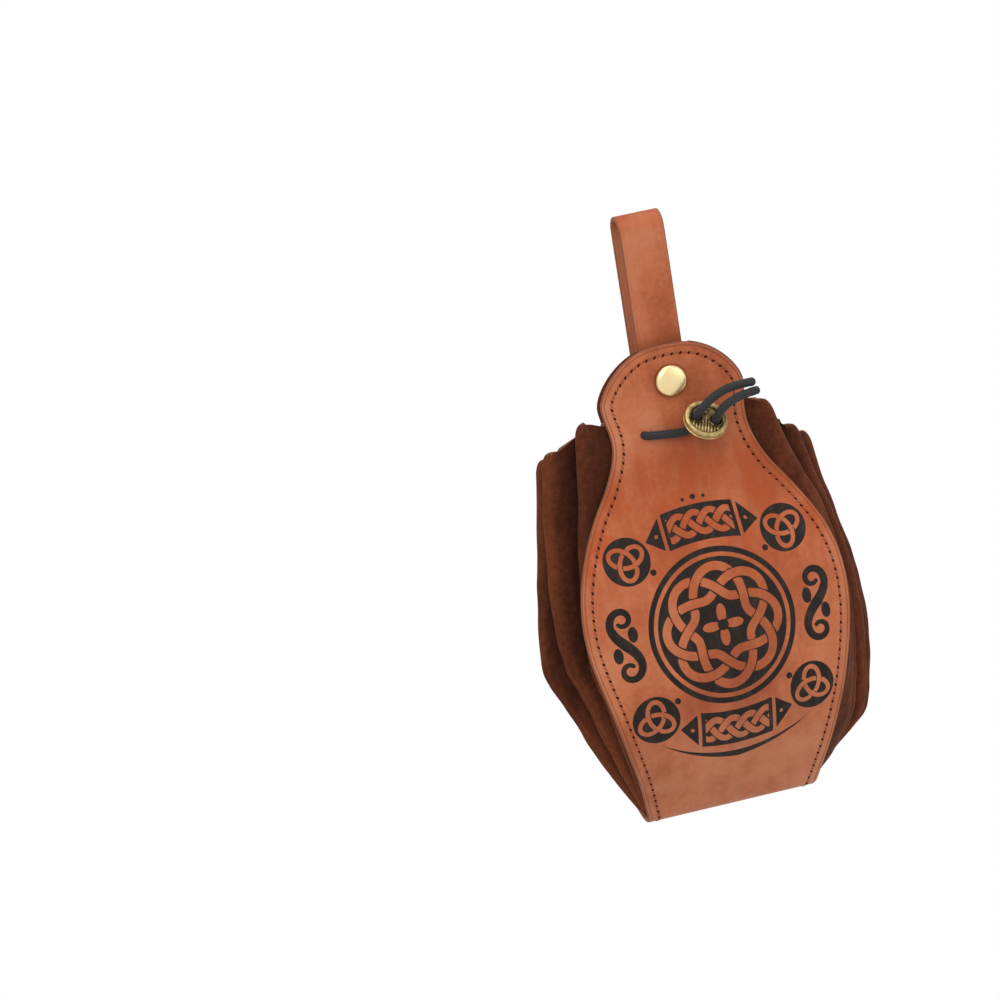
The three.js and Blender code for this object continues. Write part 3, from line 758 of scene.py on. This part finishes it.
bag = dict(
    half=68.5, spread=11.0, suede=1.3, gap=0.45, inset=1.5, ridgeRound=2.1, rows=150, roll=(2.4, 5.5),
    wave=(12, 0.75), slack=((0.04, 0.7), (0.12, 0.35)),
    # how much painted light each kind of station gets: painted highlight on the ridges, painted shade in the
    # valleys
    foldLight=dict(sheet=0.35, shoulder=0.62, ridge=1.0, valley=0.0),
    pleats=[  # drop, left ridges, right ridges, valley, spread
        (0.13, 0.575, 0.756, 0.772, 0.545, 0.709, 0.782, 0.66, 0.52),
        (0.216, 0.606, 0.78, 0.791, 0.593, 0.72, 0.796, 0.665, 0.57),
        (0.3, 0.631, 0.807, 0.815, 0.664, 0.764, 0.836, 0.685, 0.66),
        (0.382, 0.682, 0.831, 0.845, 0.746, 0.819, 0.877, 0.715, 0.79),
        (0.465, 0.718, 0.853, 0.877, 0.797, 0.876, 0.926, 0.745, 0.92),
        (0.549, 0.731, 0.853, 0.907, 0.813, 0.914, 0.978, 0.762, 1),
        (0.632, 0.724, 0.822, 0.924, 0.816, 0.926, 1, 0.77, 1),
        (0.676, 0.701, 0.782, 0.899, 0.809, 0.921, 0.999, 0.78, 0.97),
        (0.732, 0.667, 0.736, 0.832, 0.796, 0.909, 0.982, 0.8, 0.91),
        (0.787, 0.635, 0.691, 0.768, 0.781, 0.893, 0.964, 0.81, 0.86),
        (0.842, 0.601, 0.645, 0.705, 0.758, 0.867, 0.936, 0.82, 0.76),
        (0.88, 0.577, 0.615, 0.661, 0.718, 0.825, 0.905, 0.83, 0.68),
        (0.91, 0.555, 0.584, 0.625, 0.672, 0.752, 0.818, 0.85, 0.58),
        (0.945, 0.528, 0.546, 0.574, 0.613, 0.655, 0.701, 0.87, 0.46),
        (0.98, 0.504, 0.511, 0.52, 0.528, 0.537, 0.555, 0.92, 0.32),
    ],
    # the top edge's drop: front middle, front, ridge, valley, ridge, valley, ridge, back, back middle
    topLeft=(0.143, 0.143, 0.13, 0.148, 0.182, 0.192, 0.2, 0.165, 0.145),
    topRight=(0.143, 0.143, 0.158, 0.185, 0.23, 0.243, 0.258, 0.165, 0.145),
    end=0.98,
)


def pleatAt(column, drop):
    table = smoothLine(bag["pleats"], 12)
    return np.interp(drop, table[:, 0], table[:, column])


# One side's stations at every row, from the front's middle round to the back's, and the painted light each
# gets by how far out it stands
def bagStations(share, isLeft):
    sign = -1 if isLeft else 1
    tops = bag["topLeft"] if isLeft else bag["topRight"]
    places, foldLight = [], []

    def sheet(part, top, onFront):
        drop = top + share * (bag["end"] - top)
        along = alongAt(drop, onFront)
        half = bandAt(along)["half"] - bag["inset"]
        places.append(bandPoint(sign * part * half, along, -skin - bag["gap"]))
        foldLight.append(bag["foldLight"]["sheet"])

    def fold(n, top, isRidge):
        drop = top + share * (bag["end"] - top)
        spread = pleatAt(8, drop) * bag["spread"]
        ends = [bandAt(alongAt(drop, onFront))["y"] for onFront in (True, False)]
        middle = (ends[0] + ends[1]) / 2
        z = panel["headTop"] - drop * panel["length"]
        first = 0 if isLeft else 3
        if isRidge:
            x = pleatAt(first + n, drop) * bag["half"]
            thick = np.minimum(bag["ridgeRound"], 0.36 * spread)
            # the fold rolls inward at its cut top
            below = np.clip(share * (bag["end"] - top) * panel["length"] / bag["roll"][1], 0, 1)
            x = x - bag["roll"][0] * (1 - np.sqrt(1 - (1 - below) ** 2))
            y = middle + (n - 2) * spread
            for inward, turn, lighting in ((1, -1, "shoulder"), (0, 0, "ridge"), (1, 1, "shoulder")):
                places.append(np.stack([sign * (x - inward * thick), y + turn * thick, z], -1))
                foldLight.append(bag["foldLight"][lighting])
        else:
            x = pleatAt(7, drop) * pleatAt(first + 2, drop) * bag["half"]
            y = middle + (n - 1.5) * spread
            for part in (-0.1, 0.1):
                places.append(np.stack([sign * x, y + part * spread, z], -1))
                foldLight.append(bag["foldLight"]["valley"])

    for part, top in ((0, 0), (0.5, 0), (1, 1)):
        sheet(part, tops[top], True)
    for n in (1, 2, 3):
        fold(n, tops[2 * n], True)
        if n < 3:
            fold(n, tops[2 * n + 1], False)
    for part, top in ((1, 7), (0.5, 8), (0, 8)):
        sheet(part, tops[top], False)
    return places, foldLight


def buildBag():
    share = np.linspace(0, 1, bag["rows"] + 1) ** 1.25
    right, rightLight = bagStations(share, False)
    left, leftLight = bagStations(share, True)
    stations = np.stack([*right, *left[-2:0:-1]], 1)
    lighting = np.array([*rightLight, *leftLight[-2:0:-1]])
    withLight = np.concatenate([stations, np.broadcast_to(lighting[:, None] * 4, (*stations.shape[:2], 1))], 2)
    rings = np.array([smoothLine(ring, 9, closed=True) for ring in withLight])
    rings = np.concatenate([rings, rings[:, :1]], 1)
    # ridge is the painted light along the rings: painted highlight on the ridges, painted shade in the
    # valleys
    points, ridge = rings[..., :3], np.clip(rings[..., 3] / 4, 0, 1)
    # soft creases and slack in the side walls, and none where the leather covers it
    free = smoothstep(np.abs(points[..., 0]), 38, 50)
    fade = smoothstep(share, 0.02, 0.2)[:, None]
    gathered = smoothstep(share, 0.4, 0.62) * (1 - smoothstep(share, 0.86, 0.97))
    for (j, i), amount in np.ndenumerate(free * fade):
        if amount > 0.02:
            spot = Vector(points[j, i])
            pull = sum((noise.noise_vector(spot * scale) * much for scale, much in bag["slack"]), Vector())
            wave = math.sin(2 * math.pi * i / bag["wave"][0] + 4 * noise.noise(spot * 0.03))
            pull.x += math.copysign(bag["wave"][1] * gathered[j] * wave, spot.x)
            points[j, i] += np.array(pull) * amount
    points[:, -1] = points[:, 0]
    bm = bmesh.new()
    layGrid(bm, points, dict(ridge=ridge))
    closeUp(bm)
    capHoles(bm, [edge for edge in openEdges(bm) if max(vert.co.z for vert in edge.verts) < -0.2])
    made = addPiece("pouch_bag", bm, ["suede", "suedeCut"], "bag")
    wall = made.modifiers.new("wall", "SOLIDIFY")
    wall.thickness, wall.offset, wall.material_offset_rim = bag["suede"] * mm, -1, 1


def strapLine():
    legY = strap["loopGap"] / 2 + strap["thick"] / 2
    line = [(strap["snapLeg"], -strap["studDrop"] - below) for below in strap["snapRun"]]
    line.append((-legY, -strap["legBend"]))
    for k in range(11):
        angle = math.pi * k / 10
        line.append((-math.cos(angle) * legY, -strap["loopGap"] / 2 + math.sin(angle) * legY))
    line += [(legY, -drop) for drop in (strap["legBend"], *strap["legDrops"])]
    along = alongAt(strap["backDrops"], False)
    spots = bandPoint(0 * along, along, skin + strap["gap"] + strap["thick"] / 2)
    return np.vstack([line, spots[:, 1:]])


# A flat strap with softly rounded cut edges, laid along its line
def buildStrap():
    line = smoothLine(strapLine(), 24)
    line = resample(line, np.linspace(0, lengthsAlong(line)[-1], strap["rows"] + 1))
    slope = unitSlope(line)
    half, thick, corner = strap["width"] / 2, strap["thick"] / 2, strap["corner"]
    ring, edge = [], []
    for sx, sy in ((1, 1), (-1, 1), (-1, -1), (1, -1)):
        turns = np.linspace(0, math.pi / 2, 5)
        if sx * sy < 0:
            turns = turns[::-1]
        for turn in turns:
            ring.append((sx * (half - corner + corner * math.cos(turn)),
                         sy * (thick - corner + corner * math.sin(turn))))
            edge.append(corner * (1 - math.cos(turn)) * 1.2)
        if (sx, sy) in ((1, 1), (-1, -1)):
            for inset in (*strap["insets"], *(strap["width"] - near for near in strap["insets"][-2::-1])):
                ring.append((sx * (half - inset), sy * thick))
                edge.append(min(inset, strap["width"] - inset))
    ring = np.array(ring + ring[:1])
    edge = np.array(edge + edge[:1])
    # up is the band's outer side: the front leg's front, over the top, the back leg's back
    out = np.column_stack([-slope[:, 1], slope[:, 0]])
    points = np.stack([np.broadcast_to(ring[:, 0], (len(line), len(ring))),
                       line[:, :1] + out[:, :1] * ring[:, 1], line[:, 1:] + out[:, 1:] * ring[:, 1]], -1)
    bm = bmesh.new()
    layGrid(bm, points, dict(edge=np.broadcast_to(edge, points.shape[:2])))
    closeUp(bm)
    capHoles(bm, openEdges(bm))
    addPiece("strap_leather", bm, ["strap"], "belt_loop")


# Both halves of the stud as radius and height toward the front
snap = dict(
    y=-13.5, z=-62.0, rim=(5.7, 6.3),
    cap=[(0, 2.5), (1.6, 2.48), (3.1, 2.38), (4.3, 2.2), (5.1, 1.95), (5.6, 1.66), (5.95, 1.28), (6.2, 0.8),
         (6.35, 0.3), (6.32, 0.08), (6.15, 0), (2, 0), (2, -4.4), (5.5, -4.4), (5.5, -7.3), (2.95, -7.3),
         (2.95, -5.4), (0, -5.4)],
    stud=[(0, -5.7), (2.2, -5.7), (2.6, -6.1), (2.6, -6.8), (1.8, -7.3), (1.8, -9.6), (5, -9.6), (5, -10.6),
          (0, -10.6)],
)


def buildStudHalf(name, profile, segments, replaced):
    y, z = snap["y"], snap["z"]
    bm = bmesh.new()
    spinLine(bm, [(radius, y - height, z) for radius, height in profile], (0, y, z), (0, 1, 0), segments)
    closeUp(bm)
    # relief falls from 1 within the rim to 0 across it, where the polished brass is darkened with painted
    # shade
    layer = bm.verts.layers.float.new("relief")
    for vert in bm.verts:
        vert[layer] = 1 - smoothstep(math.hypot(vert.co.x, vert.co.z - z * mm) / mm, *snap["rim"])
    addPiece(name, bm, ["brass"], replaced)


cord = dict(
    radius=1.65, sides=20, step=0.3, smoothing=160, lumps=(8, 0.045), pitch=3.4, tip=1.4,
    leftHole=(-13.3, -16.9, -80.4), rightHole=(13.2, -17.0, -82.4),
    left=[(31.1, -20.4, -67.6), (25, -21.6, -67.2), (18.7, -23.2, -67.4), (14, -24.4, -68.6),
          (9.6, -25, -70.8), (6.5, -24.4, -73.4), (5.4, -22, -76.1), (5, -19.6, -78.6), (3.4, -18.1, -81),
          (0, -17.7, -81.8), (-5, -17.9, -81.2), (-10, -18.3, -80.6), (-13.3, -16.9, -80.4)],
    inside=[(-13.3, -16.9, -80.4), (-14.4, -13.5, -80.4), (-15.6, -9.6, -80.6), (-16.6, -5.7, -80.8),
            (-15.8, -1.6, -80.7), (-14.6, 2, -80.6), (-13.1, 5.9, -80.6), (-9.6, 7.9, -80.7), (-4, 8.4, -81),
            (4, 8.4, -81), (9.6, 7.9, -80.7), (13.1, 5.9, -80.6), (14.6, 2, -80.6), (15.8, -1.6, -80.7),
            (16.6, -5.7, -80.8), (15.6, -9.6, -80.8), (14.6, -13.2, -81.2), (13.2, -17, -82.4)],
    right=[(13.2, -17, -82.4), (12, -20.7, -81.9), (12, -22.4, -80), (12.6, -24.4, -77.6),
           (14.2, -26, -74.7), (17.8, -25.7, -72.4), (24.6, -23.6, -71), (31.9, -21.6, -70.8)],
)


# A tube round a line, with rounded ends where the cord is cut and its own UV map along it
def layCord(bm, line, tips):
    walked = lengthsAlong(line)
    slope = unitSlope(line)
    side = np.cross(slope[0], (0, 0, 1))
    sidesOf = []
    for way in slope:
        side = side - way * side.dot(way)
        side /= np.linalg.norm(side)
        sidesOf.append(side)
    side = np.array(sidesOf)
    other = np.cross(slope, side)
    size = np.full(len(line), cord["radius"])
    for fromEnd, wanted in ((walked, tips[0]), (walked[-1] - walked, tips[1])):
        if wanted:
            size *= np.sqrt(1 - (1 - np.clip(fromEnd / wanted, 0, 1)) ** 2)
    turns = np.linspace(0, 2 * math.pi, cord["sides"] + 1)
    strands, lump = cord["lumps"]
    rise = 1 + lump * np.cos(strands * turns[None, :]) * np.cos(2 * math.pi * walked[:, None] / cord["pitch"])
    reach = size[:, None] * rise
    points = line[:, None] + reach[..., None] * (side[:, None] * np.cos(turns)[None, :, None]
                                                 + other[:, None] * np.sin(turns)[None, :, None])
    points[:, -1] = points[:, 0]
    layGrid(bm, points, uv=(np.linspace(0, 1, cord["sides"] + 1), walked / cord["pitch"] * 2))


# The whole route with its corners eased, in even steps
def cordLine():
    line = smoothLine(cord["left"] + cord["inside"][1:] + cord["right"][1:], 30)
    for _ in range(cord["smoothing"]):
        line[1:-1] = (line[:-2] + 2 * line[1:-1] + line[2:]) / 4
    walked = lengthsAlong(line)
    return resample(line, np.linspace(0, walked[-1], int(walked[-1] / cord["step"]) + 1))


def buildCord():
    whole = cordLine()
    walked = lengthsAlong(whole)
    cuts = [int(np.argmin(np.linalg.norm(whole - np.array(cord[hole]), axis=1)))
            for hole in ("leftHole", "rightHole")]
    parts = dict(cord_left=(0, cuts[0]), cord_inside=cuts, cord_right=(cuts[1], len(whole) - 1))
    made = {}
    for name, (first, last) in parts.items():
        bm = bmesh.new()
        line = whole[first:last + 1]
        layCord(bm, line, [cord["tip"] * (name == end) for end in ("cord_left", "cord_right")])
        bmesh.ops.remove_doubles(bm, verts=bm.verts[:], dist=1e-6)
        capHoles(bm, openEdges(bm))
        made[name] = addPiece(name, bm, ["cord"], "drawstring")
        if name != "cord_inside":
            made[name + "_path"] = (line * mm).tolist()
            made[name + "_length"] = float((walked[last] - walked[first]) * mm)
    return made


cords = buildCord()

bead = dict(centre=(8.77, -22.03, -78.3), axis=(0.138, -0.686, 0.715), across=(0.9116, -0.1941, -0.3621),
            radius=8.5, half=2.0, face=6.3, holes=(-3.75, 3.75), holeRadius=2.15, floor=1.0, ribs=11,
            ribPitch=1.18, ribWidth=0.6, ribTop=0.72, ribSunk=0.25, ribRound=0.14, ribEnd=1.6, ribLeast=0.8,
            sharp=38.0, collar=((0, -0.1), (0, 0.55), (0.2, 0.7), (0.42, 0.5), (0.5, -0.1)))


# The bead's body is turned with a sunk face and a grooved rim, and then drilled twice
def drilledBody():
    r, t, floor = bead["radius"], bead["half"], bead["floor"]
    profile = [(0, -t), (r - 1.4, -t), (r - 0.5, -t + 0.35), (r, -t + 1.2), (r, -0.3), (r - 0.35, -0.1),
               (r - 0.35, 0.35), (r, 0.6), (r, t - 0.7), (r - 0.25, t - 0.15), (r - 0.7, t), (r - 1.4, t),
               (r - 1.85, t - 0.12), (r - 2.15, t - 0.5), (r - 2.3, floor), (0, floor)]
    bm = bmesh.new()
    spinLine(bm, [(radius, 0, height) for radius, height in profile], (0, 0, 0), (0, 0, 1), 72)
    closeUp(bm)
    layer = bm.verts.layers.float.new("relief")
    for vert in bm.verts:
        vert[layer] = 1.0 if vert.co.to_2d().length / mm > r - 2.0 else 0.0
    drill = bmesh.new()
    for middle in bead["holes"]:
        bmesh.ops.create_cone(drill, cap_ends=True, segments=32, radius1=bead["holeRadius"] * mm,
                              radius2=bead["holeRadius"] * mm, depth=8 * mm,
                              matrix=Matrix.Translation((middle * mm, 0, 0)))
    made, cutter = (linked(name, bpy.data.meshes.new(name)) for name in ("toggle", "drill"))
    for owner, shape in ((made, bm), (cutter, drill)):
        shape.to_mesh(owner.data)
        shape.free()
    cut = made.modifiers.new("cut", "BOOLEAN")
    cut.operation, cut.object, cut.solver = "DIFFERENCE", cutter, "EXACT"
    bpy.context.view_layer.update()
    drilled = bpy.data.meshes.new_from_object(made.evaluated_get(bpy.context.evaluated_depsgraph_get()))
    for gone in (made, cutter):
        bpy.data.objects.remove(gone)
    return drilled


# Straight ribs stand on the sunk face, each as long as the rim and the holes leave room for
def addRibs(bm, layer):
    floor = bead["floor"]
    for k in range(bead["ribs"]):
        x = (k - (bead["ribs"] - 1) / 2) * bead["ribPitch"]
        if abs(x) > bead["face"] - 0.4:
            continue
        low = -math.sqrt(bead["face"] ** 2 - x ** 2)
        off = min(abs(x - middle) for middle in bead["holes"])
        high = bead["ribEnd"]
        if off < bead["holeRadius"] + 0.55:
            high = -math.sqrt((bead["holeRadius"] + 0.55) ** 2 - off ** 2) - 0.15
        if high - low < bead["ribLeast"]:
            continue
        move = Matrix.Translation((x * mm, (low + high) / 2 * mm, (floor + bead["ribSunk"]) * mm))
        size = sized(bead["ribWidth"], high - low, bead["ribTop"])
        rib = bmesh.ops.create_cube(bm, size=1, matrix=move @ size)["verts"]
        upper = [vert for vert in rib if vert.co.z > floor * mm]
        for vert in rib:
            vert[layer] = 1.0 if vert in upper else 0.0
        top = [e for e in {e for v in upper for e in v.link_edges} if all(v in upper for v in e.verts)]
        bmesh.ops.bevel(bm, geom=top, offset=bead["ribRound"] * mm, offset_type="OFFSET", segments=2,
                        profile=0.5, affect="EDGES", material=-1)


def buildBead():
    bm = bmesh.new()
    bm.from_mesh(drilledBody())
    layer = bm.verts.layers.float.get("relief") or bm.verts.layers.float.new("relief")
    addRibs(bm, layer)
    # a collar stands round each hole
    for middle in bead["holes"]:
        inner = middle + bead["holeRadius"]
        collar = [(inner + wider, 0, bead["floor"] + up) for wider, up in bead["collar"]]
        for vert in spinLine(bm, collar, (middle, 0, 0), (0, 0, 1), 32, closed=True):
            vert[layer] = 0.7
    axis, across = Vector(bead["axis"]).normalized(), Vector(bead["across"]).normalized()
    turn = Matrix((across, axis.cross(across).normalized(), axis)).transposed().to_4x4()
    bm.transform(Matrix.Translation(Vector(bead["centre"]) * mm) @ turn)
    bmesh.ops.remove_doubles(bm, verts=bm.verts[:], dist=1e-7)
    bmesh.ops.recalc_face_normals(bm, faces=bm.faces[:])
    made = addPiece("bead_brass", bm, ["oldBrass"], "toggle_bead")
    made.data.set_sharp_from_angle(angle=math.radians(bead["sharp"]))
    return made


beadPiece = buildBead()
for name, hole, others in (("cord_left", "leftHole", [beadPiece]), ("cord_right", "rightHole", [])):
    cords[name + "_length"]
    cords[name + "_path"]

buildPanel()
buildStitches()
buildLining()
buildBag()
buildStrap()
buildStudHalf("stud_cap", snap["cap"], 64, "snap_cap")
buildStudHalf("stud_back", snap["stud"], 48, "snap_stud")
print("pieces made")


studio = dict(aim=(0, 0, -0.12), ambient=1.0,  # and each lamp's place, power and size
              key=((-1.1, -1.6, 1.2), 20, 1.3), fill=((1.5, -1.5, 0.5), 8, 1.8),
              top=((0, -0.2, 1.9), 13, 1.6))


# The photograph's ground is plain white with no shadow, so the world alone stands behind the pouch
def buildStudio():
    for name in ("key", "fill", "top"):
        where, power, size = studio[name]
        lamp = bpy.data.lights.new(name, "AREA")
        lamp.energy, lamp.size = power, size
        made = linked(name, lamp)
        made.location = where
        made.rotation_euler = (Vector(studio["aim"]) - Vector(where)).to_track_quat("-Z", "Y").to_euler()
    world = bpy.data.worlds.new("studio")
    world.use_nodes = True
    background = world.node_tree.nodes["Background"].inputs
    background["Color"].default_value = (1, 1, 1, 1)
    background["Strength"].default_value = studio["ambient"]
    bpy.context.scene.world = world
    bpy.context.scene.view_settings.view_transform = "Standard"


buildStudio()
print("studio lit")
